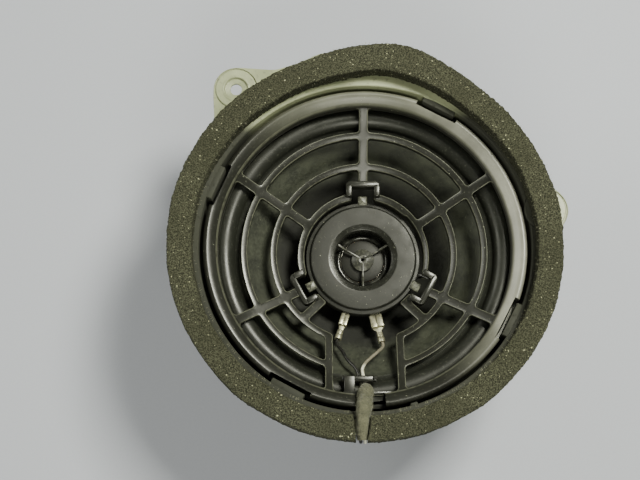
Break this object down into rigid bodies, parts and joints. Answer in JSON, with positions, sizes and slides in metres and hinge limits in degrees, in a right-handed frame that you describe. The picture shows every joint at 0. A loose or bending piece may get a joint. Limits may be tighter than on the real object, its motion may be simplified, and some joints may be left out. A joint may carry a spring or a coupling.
{
  "type": "coaxial door speaker",
  "caption": "Round coaxial car door speaker: a woofer whose black spoked carrier holds a small horn tweeter on its axis, with a foam gasket and screw lugs.",
  "frame": {"origin": "centre of the magnet's back face", "axes": "+Z out of the speaker's front along its axis, +Y towards the top of the picture, +X to its right"},
  "size_m": [0.1846, 0.1868, 0.0901],
  "materials": {
    "plated_steel": "satin zinc plate",
    "chassis": "satin light grey",
    "cone": "mottled matt grey",
    "connector": "matt black",
    "capacitor_sleeve": "shrink sleeve",
    "ferrite": "matt sintered",
    "fleece": "fuzzy felt",
    "foam": "open cell, speckled",
    "carrier_plastic": "satin moulded black",
    "lead_black": "smooth insulation",
    "lead_white": "smooth insulation",
    "tinned_brass": "dull tin plate",
    "spider_cloth": "resin-dipped weave",
    "surround_rubber": "satin",
    "terminal_board": "pressed board",
    "tinsel_braid": "copper braid",
    "copper": "enamelled wire",
    "tweeter_dome": "coated cloth",
    "tweeter_plastic": "fine grain black",
    "surround_film": "glossy film",
    "former_film": "amber film"
  },
  "bodies": {
    "chassis": {"back_plate": "plated_steel", "chassis": "chassis", "connector_housing": "connector", "connector_pin_1": "tinned_brass", "connector_pin_2": "tinned_brass", "connector_pin_3": "tinned_brass", "connector_pin_4": "tinned_brass", "crossover_capacitor": "capacitor_sleeve", "ferrite_magnet": "ferrite", "fleece_sleeve": "fleece", "foam_gasket": "foam", "front_plate": "plated_steel", "grille_carrier": "carrier_plastic", "lead_black": "lead_black", "lead_white": "lead_white", "magnet_rivet_1": "plated_steel", "magnet_rivet_2": "plated_steel", "magnet_rivet_3": "plated_steel", "receptacle_narrow": "tinned_brass", "receptacle_wide": "tinned_brass", "spider": "spider_cloth", "surround": "surround_rubber", "terminal_board": "terminal_board", "terminal_rivet_1": "plated_steel", "terminal_rivet_2": "plated_steel", "tinsel_lead_negative": "tinsel_braid", "tinsel_lead_positive": "tinsel_braid", "tweeter_face": "tweeter_plastic", "tweeter_magnet": "plated_steel", "tweeter_pole_plate": "plated_steel", "tweeter_rear_housing": "tweeter_plastic", "tweeter_surround": "surround_film", "tweeter_tab_narrow": "tinned_brass", "tweeter_tab_wide": "tinned_brass", "tweeter_yoke_cup": "plated_steel"},
    "woofer_cone": {"cone": "cone", "dust_cap": "cone", "voice_coil_former": "former_film", "voice_coil_winding": "copper"},
    "tweeter_diaphragm": {"tweeter_dome": "tweeter_dome", "tweeter_coil": "copper"}
  },
  "joints": [
    {"name": "woofer_travel", "type": "slide", "parent": "chassis", "child": "woofer_cone", "axis": [0, 0, 1], "range_m": [-0.0035, 0.0035], "stiffness_N_per_m": 1700, "deforming": ["surround", "spider", "tinsel_lead_positive", "tinsel_lead_negative"]},
    {"name": "tweeter_travel", "type": "slide", "parent": "chassis", "child": "tweeter_diaphragm", "axis": [0, 0, 1], "range_m": [-0.0003, 0.0003], "stiffness_N_per_m": 200, "deforming": ["tweeter_surround"]}
  ]
}
